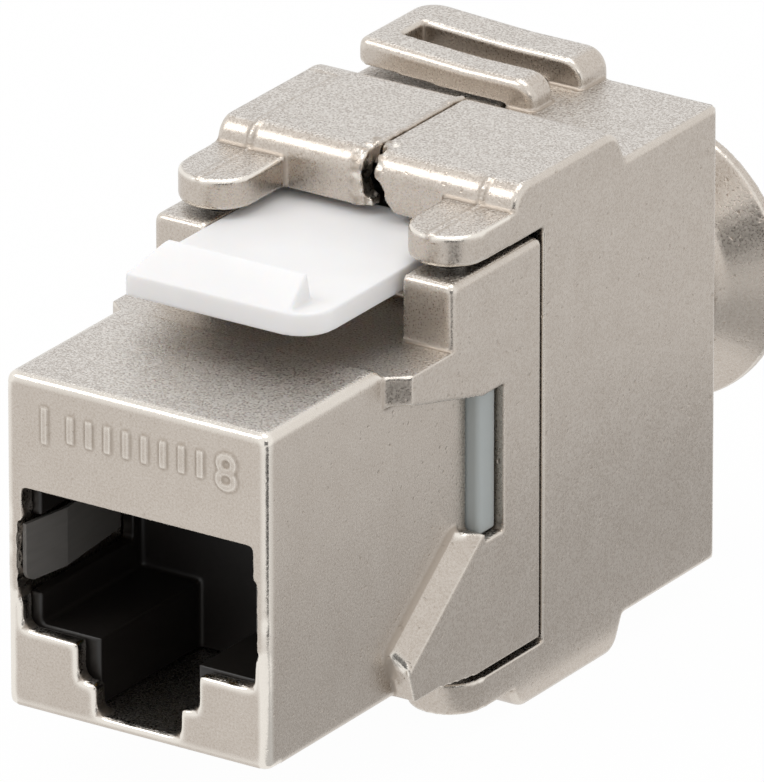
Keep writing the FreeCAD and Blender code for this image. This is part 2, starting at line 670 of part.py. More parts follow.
def make_blade(name, across, height):
    """A forked blade that cuts into a conductor: tail in the board, fork towards the rear."""
    body = new_body(name)
    shoulder = f"{BLOCK_FRONT} + blade_shoulder"
    root = "blade_tip - blade_slot_depth"
    half = "blade_width / 2"
    right = [("blade_tail / 2", BOARD_FRONT), ("blade_tail / 2", shoulder), (half, shoulder),
             (half, "blade_tip - blade_mouth"), (f"{half} - blade_mouth / 2", "blade_tip"),
             ("blade_slot / 2 + blade_mouth / 2", "blade_tip"), ("blade_slot / 2", "blade_tip - blade_mouth"),
             ("blade_slot / 2", root)]
    outline = [(f"{across} + {x}", y) for x, y in right]
    outline += [(f"{across} - ({x})", y) for x, y in reversed(right)]
    sketch = polygon(new_sketch(body, "plan", f"{height} - blade_thick / 2"), outline)
    grow(body, sketch, "plan", "blade_thick")
    return body


def make_wire_cap():
    """The cap that carries the conductors: slots above and below, cavities for the blades, a cable bore."""
    body = new_body("wire_cap")
    outline = rectangle(new_sketch(body, "front", CAP_FRONT), *both_sides("block_width / 2"), "block_low",
                        "block_high")
    grow(body, outline, "front", f"cap_rear - ({CAP_FRONT})")
    bevelled = [{"y": "cap_rear", "x": text} for text in both_sides("block_width / 2")]
    bevelled += [{"y": "cap_rear", "z": text} for text in ("block_low", "block_high")]
    soften(body, "cap_slot_width", *bevelled, kind="Chamfer")
    for row, index, across, height in blade_places():
        half = "blade_width / 2 + lug_gap"
        cavity = rectangle(new_sketch(body, "front", CAP_FRONT), f"{across} - ({half})", f"{across} + {half}",
                           f"{height} - blade_thick / 2 - lug_gap", f"{height} + blade_thick / 2 + lug_gap")
        cut(body, cavity, "front", "cap_cavity")
        low, high = "block_high - cap_slot_depth", "block_high + past"
        if row == "lower":
            low, high = "block_low - past", "block_low + cap_slot_depth"
        hollow(body, f"{across} - cap_slot_width / 2", f"{across} + cap_slot_width / 2",
               f"{CAP_FRONT} - past", "cap_rear + past", low, high)
    bore = circle(new_sketch(body, "front", "cap_rear - cap_bore_depth"), "0", "(block_low + block_high) / 2",
                  "cap_bore")
    cut(body, bore, "front", "cap_bore_depth + past")
    return body


def make_latch():
    """The white latch: root bead in its seat, neck, flat tongue and the catch ridge near its front."""
    body = new_body("latch")
    left, right = "latch_shift - latch_width / 2", "latch_shift + latch_width / 2"
    bead = circle(new_sketch(body, "side", left), "bead_place", "bead_height", "bead_radius")
    grow(body, bead, "side", "latch_width")
    block(body, left, right, "bead_place - neck_rear", "bead_place + neck_rear", "bead_height", LATCH_HIGH)
    block(body, left, right, "latch_front", "bead_place", "latch_low", LATCH_HIGH)
    soften(body, "latch_left_corner", {"x": left, "y": "latch_front"})
    soften(body, "latch_right_corner", {"x": right, "y": "latch_front"})
    foot = "latch_front + ridge_inset"
    crest = f"{foot} + ridge_slope"
    sunk = f"{LATCH_HIGH} - latch_thick / 2"
    ridge_end = f"{left} + ridge_left_inset"
    ridge = new_sketch(body, "side", ridge_end)
    polygon(ridge, [(foot, sunk), (foot, LATCH_HIGH), (crest, f"{LATCH_HIGH} + ridge_height"),
                    (f"{crest} + ridge_back", LATCH_HIGH), (f"{crest} + ridge_back", sunk)])
    grow(body, ridge, "side", "latch_width - ridge_left_inset - ridge_right_inset")
    # The left end of the ridge leans in from the side of the tongue to the crest.
    lean = new_sketch(body, "front", "latch_front - past")
    peak = f"{LATCH_HIGH} + ridge_height"
    polygon(lean, [(ridge_end, LATCH_HIGH), (f"{ridge_end} + ridge_lean", peak),
                   (f"{ridge_end} + ridge_lean", f"{peak} + past"), (f"{ridge_end} - past", f"{peak} + past"),
                   (f"{ridge_end} - past", LATCH_HIGH)])
    cut(body, lean, "front", "ridge_inset + ridge_slope + ridge_back + 2 * past")
    return body


def make_hinge_pin(label, sign, face, depth, direction):
    """A short dowel, pressed in a cheek and free in the blind hole of an ear."""
    body = new_body(label)
    length = f"{depth} + ear_low - cheek_top + pin_blind - pin_end_gap"
    start = f"({face}) - {direction} * {depth}"
    sketch = circle(new_sketch(body, "plan", start), signed(sign, HINGE_X), "hinge_place", "pin_radius")
    grow(body, sketch, "plan", length, direction)
    return body


def make_door(label, sign):
    """One of the two cast rear doors, with its ears, its half of the collar and, on the right, the clasp."""
    body = new_body(label)
    step = [("step_front", "door_top"), ("step_rear", "door_rear_top")]
    front_edge = "housing_length + door_gap"
    outer = [("nose_front", "ear_low"), ("nose_front", "door_top")] + step + [("door_rear", "door_rear_top")]
    outer += [(y, mirrored(z)) for y, z in reversed(outer)]
    outer += [(front_edge, mirrored("ear_low")), (front_edge, "ear_low")]
    profile = polygon(new_sketch(body, "side"), outer)
    grow(body, profile, "side", SIDE, sign)
    for place, radius in (("nose_front", "nose_round"), ("step_front", "step_round")):
        soften(body, radius, {"y": place, "z": "door_top"}, {"y": place, "z": mirrored("door_top")})
    side = signed(sign, SIDE)
    soften(body, "door_round", {"x": side, "z": "door_top"}, {"x": side, "z": "door_rear_top"},
           {"x": side, "z": mirrored("door_top")}, {"x": side, "z": mirrored("door_rear_top")},
           {"x": side, "y": "door_rear"})
    inner = [("nose_front + door_wall", "door_top - door_wall"),
             ("step_front - door_wall / 2", "door_top - door_wall"),
             ("step_rear - door_wall / 2", "door_rear_top - door_wall"),
             ("door_rear - door_wall", "door_rear_top - door_wall")]
    inner += [(y, mirrored(z)) for y, z in reversed(inner)]
    room = polygon(new_sketch(body, "side", signed(sign, f"{SIDE} - door_wall")), inner)
    cut(body, room, "side", SIDE, -sign)
    bevel = new_sketch(body, "plan", mirrored("ear_low"))
    inside = f"{SIDE} - door_wall"
    polygon(bevel, [(signed(sign, f"{inside} - past"), f"{front_edge} - past"),
                    (signed(sign, f"{inside} + edge_bevel + past"), f"{front_edge} - past"),
                    (signed(sign, f"{inside} - past"), f"{front_edge} + edge_bevel + past")])
    cut(body, bevel, "plan", f"ear_low - ({mirrored('ear_low')})")
    for low in ("ear_low", mirrored(EAR_HIGH)):
        plate = spread(sign, f"{SIDE} - ear_width", SIDE)
        block(body, *plate, "hinge_place", "nose_front + door_wall / 2", low, f"{low} + ear_thick")
        tip = circle(new_sketch(body, "plan", low), signed(sign, HINGE_X), "hinge_place", "ear_width / 2")
        grow(body, tip, "plan", "ear_thick")
    for face, direction in (("ear_low", 1), (mirrored("ear_low"), -1)):
        hole = circle(new_sketch(body, "plan", face), signed(sign, HINGE_X), "hinge_place",
                      "pin_radius + pin_gap")
        cut(body, hole, "plan", "pin_blind", direction)
    add_collar(body, sign)
    seam = rectangle(new_sketch(body, "side", signed(sign, "seam_gap / 2")), "0", "rim_rear + past",
                     f"{mirrored('door_top')} - past", "door_top + past")
    cut(body, seam, "side", "seam_gap", -sign)
    if sign < 0:
        rail = spread(sign, "rail_place", f"{SIDE} + past")
        hollow(body, *rail, "nose_front - past", "step_front - nose_round", "door_top - rail_drop",
               "door_top + past")
    return body


def add_collar(body, sign):
    """Half of the tube that closes round the cable, flared to a rim at its end."""
    collar = new_sketch(body, "side")
    bore = "collar_height + cable_radius"
    rim = "collar_height + rim_radius"
    root = "door_rear - door_wall / 2"
    polygon(collar, [(root, bore), (root, f"{bore} + collar_wall"),
                     ("collar_neck", f"{bore} + collar_wall"), ("rim_front", f"{rim} - rim_taper"),
                     ("rim_front + rim_edge", rim), ("rim_rear", rim), ("rim_rear", f"{rim} - rim_lip"),
                     ("collar_neck", bore)])
    ends = [FreeCAD.Vector(value(y), value("collar_height"), 0) for y in ("0", "past")]
    axis = collar.addGeometry(Part.LineSegment(*ends), True)
    pin_point(collar, axis, 1, "0", "collar_height")
    pin_point(collar, axis, 2, "past", "collar_height")
    ring = body.newObject("PartDesign::Revolution", "Revolution")
    ring.Profile = collar
    ring.ReferenceAxis = (collar, ["Axis0"])
    ring.Angle = HALF_TURN
    ring.Reversed = sign < 0
    doc.recompute()
    opening = circle(new_sketch(body, "front", "door_rear - door_wall - past"), "0", "collar_height",
                     "cable_radius")
    cut(body, opening, "front", "door_wall + 2 * past")
    soften(body, "collar_round", {"y": "collar_neck"})


def open_seam(body, sign):
    """The seam widens into a ragged mouth between the noses, where the left door's tongue lies."""
    mouth = new_sketch(body, "front", "nose_front - past")
    above = "door_top + past"
    tongue_top = "ear_low + tongue_high"
    if sign < 0:
        polygon(mouth, [("0", above), ("-notch_side", above), ("-notch_side", "door_top - notch_drop"),
                        ("-notch_side / 2", tongue_top), ("0", tongue_top)])
        cut(body, mouth, "front", "notch_depth + past")
        block(body, "-notch_side / 2 - lap", "tongue_reach", "nose_front + seam_gap",
              "nose_front + door_wall", "ear_low", f"{tongue_top} - seam_gap")
    else:
        step = "notch_wide + notch_step"
        foot = "notch_wide + notch_spread"
        polygon(mouth, [("0", above), ("notch_wide", above), ("notch_wide", EAR_HIGH),
                        (step, "ear_low + notch_step_height"), (step, tongue_top),
                        (foot, "ear_low + notch_foot"), (foot, "ear_low - past"), ("0", "ear_low - past")])
        cut(body, mouth, "front", "notch_depth + past")


def add_clasp(body):
    """The flat loop that reaches from the right door over the rear of the left one."""
    low = "door_rear_top + clasp_gap"
    top = f"{low} + clasp_thick"
    left = f"-({SIDE})"
    plate = new_sketch(body, "front", "clasp_front")
    polygon(plate, [("clasp_rear_end", low), ("clasp_rear_end", top), ("-clasp_kink", top),
                    (left, f"{top} + clasp_rise"), (left, f"{low} + clasp_rise"), ("-clasp_kink", low)])
    grow(body, plate, "front", "clasp_rear - clasp_front")
    feet = (("clasp_front_end", "clasp_front", "clasp_slot_front"),
            ("clasp_rear_end", "clasp_slot_rear", "clasp_rear"))
    for right, front, rear in feet:
        block(body, "clasp_foot", right, front, rear, "door_rear_top - door_wall / 2", f"{low} + clasp_gap")
    slot_left = f"{left} + clasp_bar"
    outside = "clasp_rear_end + past"
    slot = new_sketch(body, "plan", f"{top} + past")
    polygon(slot, [(slot_left, "clasp_slot_front"), ("clasp_front_end", "clasp_slot_front"),
                   ("clasp_front_end", "clasp_front - past"), (outside, "clasp_front - past"),
                   (outside, "clasp_slot_rear"), (slot_left, "clasp_slot_rear")])
    cut(body, slot, "plan", "clasp_thick + past + clasp_gap / 2", -1)
    soften(body, "clasp_round", {"x": "clasp_front_end", "z": top}, {"x": "clasp_rear_end", "z": top})
    soften(body, "clasp_front_corner", {"x": left, "y": "clasp_front"})
    soften(body, "clasp_rear_corner", {"x": left, "y": "clasp_rear"})
    soften(body, "clasp_edge", {"y": "clasp_front", "z": top})
    slope_part = f"({SIDE} - clasp_bar - clasp_kink) / ({SIDE} - clasp_kink)"
    soften(body, "clasp_slot_edge", {"y": "clasp_slot_front", "z": top}, {"y": "clasp_slot_rear", "z": top},
           {"x": slot_left, "z": f"{top} + clasp_rise * {slope_part}"})


make_front_housing()
make_port_insert()
make_contact_carrier()
for index in range(CONTACTS):
    make_contact(index)
make_ground_spring("ground_spring_left", -1)
make_ground_spring("ground_spring_right", 1)
make_circuit_board()
make_terminal_block()
for row, index, across, height in blade_places():
    make_blade(f"{row}_blade_{index + 1}", across, height)
make_wire_cap()
make_latch()
for end, face, depth, direction in PIN_ENDS:
    make_hinge_pin(f"{end}_pin_left", -1, face, depth, direction)
    make_hinge_pin(f"{end}_pin_right", 1, face, depth, direction)
door_left = make_door("door_left", -1)
open_seam(door_left, -1)
door_right = make_door("door_right", 1)
open_seam(door_right, 1)
add_clasp(door_right)

doc.recompute()
for item in doc.Objects:
    if {"Invalid", "Error"} & set(item.State):
        raise ValueError(f"{item.Label} did not compute: {item.State}")
for piece in pieces:
    if piece.Shape.isNull() or not piece.Shape.isValid():
        raise ValueError(f"{piece.Label} has no sound shape")
os.makedirs("parts", exist_ok=True)
for piece in pieces:
    piece.Shape.exportStep(f"parts/{piece.Label}.step")
    print(piece.Label, len(piece.Shape.Solids), round(piece.Shape.Volume, 1))
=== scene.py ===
"""Looks of a shielded keystone jack: cast nickel shells, a white latch, a dark port."""
import json
import math

import bmesh
import bpy
from mathutils import Matrix, Quaternion, Vector, noise
from mathutils.bvhtree import BVHTree


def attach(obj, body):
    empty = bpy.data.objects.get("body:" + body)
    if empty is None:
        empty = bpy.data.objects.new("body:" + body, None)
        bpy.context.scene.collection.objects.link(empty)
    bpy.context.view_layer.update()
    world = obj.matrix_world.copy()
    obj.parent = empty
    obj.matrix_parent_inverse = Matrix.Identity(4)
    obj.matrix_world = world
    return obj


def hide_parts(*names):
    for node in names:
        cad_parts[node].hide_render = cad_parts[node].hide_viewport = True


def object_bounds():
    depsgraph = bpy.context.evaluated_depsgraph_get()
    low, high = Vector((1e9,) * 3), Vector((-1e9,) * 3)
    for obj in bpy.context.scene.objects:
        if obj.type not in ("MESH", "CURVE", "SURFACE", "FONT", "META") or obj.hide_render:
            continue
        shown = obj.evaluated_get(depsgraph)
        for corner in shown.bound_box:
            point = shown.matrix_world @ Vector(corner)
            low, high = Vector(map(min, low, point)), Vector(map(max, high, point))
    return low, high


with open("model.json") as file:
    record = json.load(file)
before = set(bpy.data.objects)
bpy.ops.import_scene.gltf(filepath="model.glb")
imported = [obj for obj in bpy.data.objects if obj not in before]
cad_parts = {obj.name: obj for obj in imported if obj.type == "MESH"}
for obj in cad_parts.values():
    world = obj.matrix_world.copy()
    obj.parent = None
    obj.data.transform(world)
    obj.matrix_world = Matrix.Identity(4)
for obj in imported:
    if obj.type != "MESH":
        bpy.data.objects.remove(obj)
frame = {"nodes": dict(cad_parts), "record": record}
cad_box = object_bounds()

MM = 0.001
WELD = 0.001 * MM

# the skins of the castings and mouldings, in millimetres
VOXEL = 0.1
# the depth that gives full polish on worn edges, and full painted shade in filled corners
WEAR_AND_SHADE_DEPTH = 0.05
LUMP_HEIGHT = 0.17
LUMP_SIZE = 0.3

# where the skins are worn rounder, in millimetres: low corner, high corner, rounds of smoothing
HOUSING_WORN = (
    ((-7.2, -0.1, -7.2), (7.2, 1.1, -1.6), 36),     # ledges of the port
    ((-8.2, 9.4, -6.4), (-6.9, 15.7, -0.6), 40),    # left ramp
    ((6.9, 9.4, -6.4), (8.2, 15.7, -0.6), 40),      # right ramp
    ((-7.4, -0.1, 8.5), (7.4, 9.6, 9.4), 10),       # top of the block
    ((6.7, -0.1, -8.2), (7.4, 1.2, 8.6), 12),       # right edge of the front
    ((-7.4, -0.1, -8.2), (-6.7, 1.2, 8.6), 12),     # left edge of the front
    ((-7.4, -0.1, -8.2), (7.4, 1.2, -7.4), 12),     # lower edge of the front
)
EARS_WORN = (((-9.0, 14.0, 12.0), (9.0, 18.6, 14.4), 6),)

# where their edges are lumpy, in millimetres: low corner, high corner
PORT_MOUTH = (((-7.1, 0.05, -7.2), (7.1, 1.1, 2.6)),)
SEAM_MOUTH = (((-0.8, 18.0, 11.5), (0.8, 21.0, 15.6)),)

# the ragged lines where the dies part, in millimetres: place across, start and end along
LEFT_FLASH = ((-6.4, 14.6, 26.3), (-0.14, 19.2, 30.0))
RIGHT_FLASH = ((6.4, 14.6, 19.8),)
FLASH_STEP = 0.07
FLASH_SIZE = 0.17
FLASH_UNEVEN = 0.8
ABOVE_ALL = 30.0

# the raised pin marks on the front, in millimetres
MARK_COUNT = 8
MARK_PITCH = 1.02
MARK_WIDE = 0.34
MARK_TALL = 1.33
MARK_RAISED = 0.13
MARK_MIDDLE = 7.05
NUMBER_SIZE = 2.565
NUMBER_THICKER = 0.03
NUMBER_BOTTOM = 6.1
NUMBER_PLACES = ((1, -5.0), (8, 5.0))

# the photograph's camera: degrees for the angles, millimetres for lens and sensor, else metres
AIM = Vector((2.91, 16.0, 4.92)) * MM
AZIMUTH = 33.36
ELEVATION = 22.6
DISTANCE = 848.8 * MM
LENS = 846.2
SENSOR = 36.0
NEAREST = 0.01
FARTHEST = 10.0

# the lamps: place and size in metres, power in watts
LAMPS = (
    ("key", (-0.35, -0.35, 0.55), 0.3, 1.0),
    ("fill", (0.55, -0.45, 0.3), 0.35, 0.45),
    ("top", (0.0, 0.1, 0.7), 0.4, 1.1),
    ("rim", (-0.33, 0.5, 0.26), 0.3, 0.05),
)

# the surroundings: the sky's brightness, how plain the floor looks, and its size and drop in metres
SKY_LEVEL = 0.74
FLOOR_PLAIN = 0.975
FLOOR_SIDE = 4.0
FLOOR_GAP = 0.02 * MM

# the cards that only reflections show: place and size in millimetres, brightness
TABLE = cad_box[0].z / MM
LYING_CARDS = (
    ("grey_card", (50, 77, TABLE + 0.1), (80, 146), 0.83),
    ("near_card", (17, 25, TABLE + 0.2), (15, 66), 0.58),
    ("dark_floor_card", (47, -22, TABLE + 0.3), (38, 32), 0.08),
)
STANDING_CARD = ("dark_side_card", (90, -80, 30), (130, 76), 0.14)

# colours as plain sRGB bytes
NICKEL = (197, 186, 175)
# a greyer tone painted on the upward faces of the nickel, standing in for how the light falls on the
# tops
NICKEL_PAINTED_TOP = (194, 190, 186)
NICKEL_DARK = (154, 141, 127)
NICKEL_LIGHT = (228, 223, 216)
EDGE_NICKEL = (234, 228, 219)
WHITE_NYLON = (234, 233, 233)
BLACK_NYLON = (27, 24, 22)
PALE_GREY = (160, 165, 164)
BOARD_GREEN = (24, 84, 46)
WEAVE_GREEN = (34, 94, 56)
GOLD = (226, 186, 104)
TINNED = (186, 178, 164)
SPRING = (128, 125, 121)
DOWEL = (160, 158, 155)
FLOOR_WHITE = (238, 238, 238)

# the patterns of the finishes: sizes and depths in metres, and the scale of the board's weave
NICKEL_GRAIN = 0.11 * MM
NICKEL_CLOUD = 1.6 * MM
NICKEL_PIT = 0.3 * MM
NICKEL_RELIEF = 0.03 * MM
PLASTIC_GRAIN = 0.12 * MM
PLASTIC_CLOUD = 3.0 * MM
PLASTIC_RELIEF = 0.004 * MM
LIGHT_DEPTH = 0.8 * MM
DRAWN_LINES = 0.3 * MM
DRAWN_RELIEF = 0.003 * MM
WEAVE_SCALE = 630.0
WEAVE_RELIEF = 0.004 * MM

# scales of the coordinates that stretch a pattern along a drawn piece's length
ALONG_Y = (1, 0.1, 1)
ALONG_Z = (1, 1, 0.1)


def linear(colour):
    """An sRGB colour in bytes as linear red, green, blue and alpha."""
    channels = [byte / 255 for byte in colour]
    curve = [c / 12.92 if c <= 0.04045 else ((c + 0.055) / 1.055) ** 2.4 for c in channels]
    return (*curve, 1.0)


def grey(level):
    """A grey of that linear brightness."""
    return (level, level, level, 1.0)


class Field:
    """An output socket whose arithmetic adds Math nodes to its tree."""

    def __init__(self, tree, socket):
        self.tree = tree
        self.socket = socket

    def math(self, operation, first, second):
        return self.tree.node("ShaderNodeMath", {"operation": operation}, {0: first, 1: second})

    def __add__(self, other):
        return self.math("ADD", self, other)

    def __radd__(self, other):
        return self.math("ADD", other, self)

    def __sub__(self, other):
        return self.math("SUBTRACT", self, other)

    def __rsub__(self, other):
        return self.math("SUBTRACT", other, self)

    def __mul__(self, other):
        return self.math("MULTIPLY", self, other)

    def __rmul__(self, other):
        return self.math("MULTIPLY", other, self)

    def at_least(self, other):
        return self.math("MAXIMUM", self, other)


class Tree:
    """A node tree that adds nodes and links them."""

    def __init__(self, tree):
        self.tree = tree
        tree.nodes.clear()

    def node(self, kind, settings, sockets, output=0):
        """A new node's output. Settings go in first, then the sockets' values or links."""
        new = self.tree.nodes.new(kind)
        for name, value in settings.items():
            setattr(new, name, value)
        for name, value in sockets.items():
            self.feed(new.inputs[name], value)
        return Field(self, new.outputs[output]) if new.outputs else None

    def feed(self, socket, value):
        """Links a field to a socket, or sets the socket's own value."""
        if isinstance(value, Field):
            self.tree.links.new(value.socket, socket)
        else:
            socket.default_value = value

    def mix(self, factor, first, second):
        """A colour between two colours."""
        settings = {"data_type": "RGBA", "clamp_factor": True}
        return self.node("ShaderNodeMix", settings, {0: factor, 6: first, 7: second}, output=2)

    def noise(self, grain, detail=2.0, roughness=0.5, stretch=(1, 1, 1)):
        """Noise with lumps of about that size in metres, on object coordinates.

        stretch scales the coordinates, so a value under 1 makes longer lumps.
        """
        place = self.node("ShaderNodeTexCoord", {}, {}, output="Object")
        scaled = self.node("ShaderNodeMapping", {}, {"Vector": place, "Scale": stretch})
        sockets = {"Vector": scaled, "Scale": 1 / grain, "Detail": detail, "Roughness": roughness}
        return self.node("ShaderNodeTexNoise", {}, sockets)

    def ramp(self, value, low, high):
        """The value stretched so that low becomes 0 and high becomes 1."""
        sockets = {"Value": value, "From Min": low, "From Max": high}
        return self.node("ShaderNodeMapRange", {"clamp": True}, sockets)

    def bump(self, height, depth):
        """A normal that shows a height of that depth in metres."""
        return self.node("ShaderNodeBump", {}, {"Height": height, "Distance": depth, "Strength": 1.0})

    def glow(self, level):
        """A surface that shines evenly with that brightness."""
        return self.node("ShaderNodeEmission", {}, {"Color": grey(level), "Strength": 1.0})

    def end(self, shader, kind="Material"):
        """Makes a shader the output of the tree."""
        self.node(f"ShaderNodeOutput{kind}", {}, {"Surface": shader})


def surface(name):
    """A material and its empty tree."""
    material = bpy.data.materials.new(name)
    material.use_nodes = True
    return material, Tree(material.node_tree)


def dress(tree, **sockets):
    """Ends a material's tree with a principled shader."""
    named = {name.replace("_", " "): value for name, value in sockets.items()}
    tree.end(tree.node("ShaderNodeBsdfPrincipled", {}, named))


def cast_nickel():
    """Nickel plate on a zinc casting: mottled and speckled, polished on worn edges, matt and painted
    darker as shade in concave corners, with a greyer tone painted on upward faces as the light on the
    tops.
    """
    material, tree = surface("cast_nickel")
    normal = tree.node("ShaderNodeTexCoord", {}, {}, output="Normal")
    upward = tree.node("ShaderNodeSeparateXYZ", {}, {0: normal}, output="Z")
    level = tree.ramp(upward, 0.9, 0.99)
    wear_and_corner_shade = tree.node("ShaderNodeAttribute", {"attribute_name": "wear_and_corner_shade"}, {}, output="Fac")
    polished = tree.ramp(wear_and_corner_shade, 0.15, 0.8)
    # painted shade: concave corners, where the skin has filled out past the sharp shape, are darkened
    # towards the dark nickel, and made rougher
    dull_and_painted_shade = tree.ramp(wear_and_corner_shade, -0.15, -0.9)
    grain = tree.noise(NICKEL_GRAIN, roughness=0.6)
    cloud = tree.noise(NICKEL_CLOUD, detail=3.0)
    pit = tree.ramp(tree.noise(NICKEL_PIT, detail=1.0), 0.68, 0.78)
    speck = tree.ramp(grain, 0.36, 0.64)
    spread = (0.42 + 1.15 * level) * (1 - 0.6 * polished)
    tone = 0.5 + (speck - 0.5) * spread + (cloud - 0.5) * 0.3 - pit * 0.3
    shade = tree.mix(tone, linear(NICKEL_DARK), linear(NICKEL_LIGHT))
    # painted light: upward faces take a greyer tone, standing in for how the light falls on the tops;
    # they also get stronger grain
    plain = tree.mix(level, linear(NICKEL), linear(NICKEL_PAINTED_TOP))
    body = tree.mix(0.5, shade, plain)
    edge = tree.mix(polished, body, linear(EDGE_NICKEL))
    height = (grain * (0.24 + 1.4 * level) + cloud * 0.4 - pit * 0.5) * (1 - 0.7 * polished)
    dress(
        tree,
        Base_Color=tree.mix(dull_and_painted_shade * 0.6, edge, linear(NICKEL_DARK)),
        Metallic=1.0,
        Roughness=0.25 + 0.12 * speck - 0.12 * polished + 0.15 * dull_and_painted_shade,
        Normal=tree.bump(height, NICKEL_RELIEF),
    )
    return material


def moulded(name, colour, roughness, translucence=0.0):
    """Moulded plastic with a faint spark-eroded texture."""
    material, tree = surface(name)
    grain = tree.noise(PLASTIC_GRAIN)
    cloud = tree.noise(PLASTIC_CLOUD)
    lighter = [min(255, round(c * 1.03)) for c in colour]
    dress(
        tree,
        Base_Color=tree.mix(cloud, linear(colour), linear(lighter)),
        Roughness=roughness + 0.08 * grain,
        Subsurface_Weight=translucence,
        Subsurface_Radius=(1.0, 0.85, 0.7),
        Subsurface_Scale=LIGHT_DEPTH,
        Normal=tree.bump(grain, PLASTIC_RELIEF),
    )
    return material


def drawn_metal(name, colour, roughness, stretch, metallic=1.0):
    """Strip or wire with fine drawing lines along its length."""
    material, tree = surface(name)
    lines = tree.noise(DRAWN_LINES, detail=3.0, stretch=stretch)
    darker = [round(c * 0.85) for c in colour]
    dress(
        tree,
        Base_Color=tree.mix(lines, linear(darker), linear(colour)),
        Metallic=metallic,
        Roughness=roughness + 0.15 * lines,
        Normal=tree.bump(lines, DRAWN_RELIEF),
    )
    return material


def board_laminate():
    """Green solder mask over a faint glass weave."""
    material, tree = surface("board_laminate")
    place = tree.node("ShaderNodeTexCoord", {}, {}, output="Object")
    sockets = {"Vector": place, "Scale": WEAVE_SCALE, "Distortion": 1.0}
    weave = tree.node("ShaderNodeTexWave", {}, sockets)
    tint = tree.mix(weave, linear(BOARD_GREEN), linear(WEAVE_GREEN))
    dress(tree, Base_Color=tint, Roughness=0.35, Normal=tree.bump(weave, WEAVE_RELIEF))
    return material


FINISHES = {
    "cast_nickel": cast_nickel(),
    "white_plastic": moulded("white_plastic", WHITE_NYLON, 0.42, translucence=0.5),
    "black_plastic": moulded("black_plastic", BLACK_NYLON, 0.34),
    "pale_plastic": moulded("pale_plastic", PALE_GREY, 0.3, translucence=0.1),
    "board_laminate": board_laminate(),
    "gold_wire": drawn_metal("gold_wire", GOLD, 0.2, ALONG_Y),
    "blade_bronze": drawn_metal("blade_bronze", TINNED, 0.28, ALONG_Y),
    "spring_steel": drawn_metal("spring_steel", SPRING, 0.5, ALONG_Y, metallic=0.4),
    "pin_steel": drawn_metal("pin_steel", DOWEL, 0.25, ALONG_Z),
}
SLOTS = {part["node"]: part["material_slot"] for part in frame["record"]["subparts"]}
BODIES = {node: body for body, nodes in frame["record"]["behaviour"]["bodies"].items() for node in nodes}


def finish_nodes():
    """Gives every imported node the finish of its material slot."""
    for name, node in frame["nodes"].items():
        node.data.materials.clear()
        node.data.materials.append(FINISHES[SLOTS[name]])


def welded_millimetres(node):
    """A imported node's mesh with its triangles joined, in millimetres."""
    shape = bmesh.new()
    shape.from_mesh(frame["nodes"][node].data)
    bmesh.ops.remove_doubles(shape, verts=shape.verts, dist=WELD)
    bmesh.ops.scale(shape, vec=(1 / MM, 1 / MM, 1 / MM), verts=shape.verts)
    return shape


def with_modifier(mesh, kind, **settings):
    """The mesh that a modifier of that kind leaves."""
    piece = bpy.data.objects.new("skin", mesh)
    bpy.context.collection.objects.link(piece)
    modifier = piece.modifiers.new("skin", kind)
    for name, value in settings.items():
        setattr(modifier, name, value)
    graph = bpy.context.evaluated_depsgraph_get()
    result = bpy.data.meshes.new_from_object(piece.evaluated_get(graph))
    bpy.data.objects.remove(piece)
    bpy.data.meshes.remove(mesh)
    return result


def in_box(shape, low, high):
    """The points of a shape that lie between two corners."""
    (x0, y0, z0), (x1, y1, z1) = low, high
    return [v for v in shape.verts if x0 < v.co.x < x1 and y0 < v.co.y < y1 and z0 < v.co.z < z1]


def soften(shape, verts, rounds):
    """Rounds the edges of a skin by repeated smoothing."""
    for _ in range(rounds):
        bmesh.ops.smooth_vert(
            shape, verts=verts, factor=0.5, use_axis_x=True, use_axis_y=True, use_axis_z=True
        )


def roughen(verts):
    """Pushes points in and out by small lumps, as where a die's edge has worn."""
    for vert in verts:
        vert.co += vert.normal * LUMP_HEIGHT * noise.noise(vert.co / LUMP_SIZE)


def raise_flash(shape, across, start, end):
    """A ragged line over a shape's top, at one place across it, as dies leave where they part."""
    tree = BVHTree.FromBMesh(shape)
    down = Vector((0, 0, -1))
    for step in range(round((end - start) / FLASH_STEP)):
        above = Vector((across, start + step * FLASH_STEP, ABOVE_ALL))
        place = tree.ray_cast(above, down)[0]
        if place:
            size = FLASH_SIZE * (1 + FLASH_UNEVEN * noise.noise(place / LUMP_SIZE))
            bmesh.ops.create_cube(shape, size=size, matrix=Matrix.Translation(place))


def left_door_flash(shape):
    """The parting line beside the ear and the burr along the middle seam."""
    for line in LEFT_FLASH:
        raise_flash(shape, *line)


def right_door_flash(shape):
    """The parting line beside the ear."""
    for line in RIGHT_FLASH:
        raise_flash(shape, *line)


def raise_number(shape, number, across):
    """Adds a raised number to the front face."""
    curve = bpy.data.curves.new("pin_number", "FONT")
    curve.body = str(number)
    curve.size = NUMBER_SIZE
    curve.align_x = "CENTER"
    curve.extrude = MARK_RAISED
    curve.offset = NUMBER_THICKER
    text = bpy.data.objects.new("pin_number", curve)
    flat = bpy.data.meshes.new_from_object(text)
    place = Matrix.Translation((across, 0, NUMBER_BOTTOM))
    flat.transform(place @ Matrix.Rotation(math.pi / 2, 4, "X"))
    shape.from_mesh(flat)
    bpy.data.objects.remove(text)


def raise_pin_marks(shape):
    """Adds eight short upright bars to the front face, between the pin numbers 1 and 8."""
    size = Matrix.Diagonal((MARK_WIDE, 2 * MARK_RAISED, MARK_TALL, 1))
    for pin in range(MARK_COUNT):
        across = (pin - (MARK_COUNT - 1) / 2) * MARK_PITCH
        place = Matrix.Translation((across, 0, MARK_MIDDLE))
        bmesh.ops.create_cube(shape, size=1, matrix=place @ size)
    for number, across in NUMBER_PLACES:
        raise_number(shape, number, across)


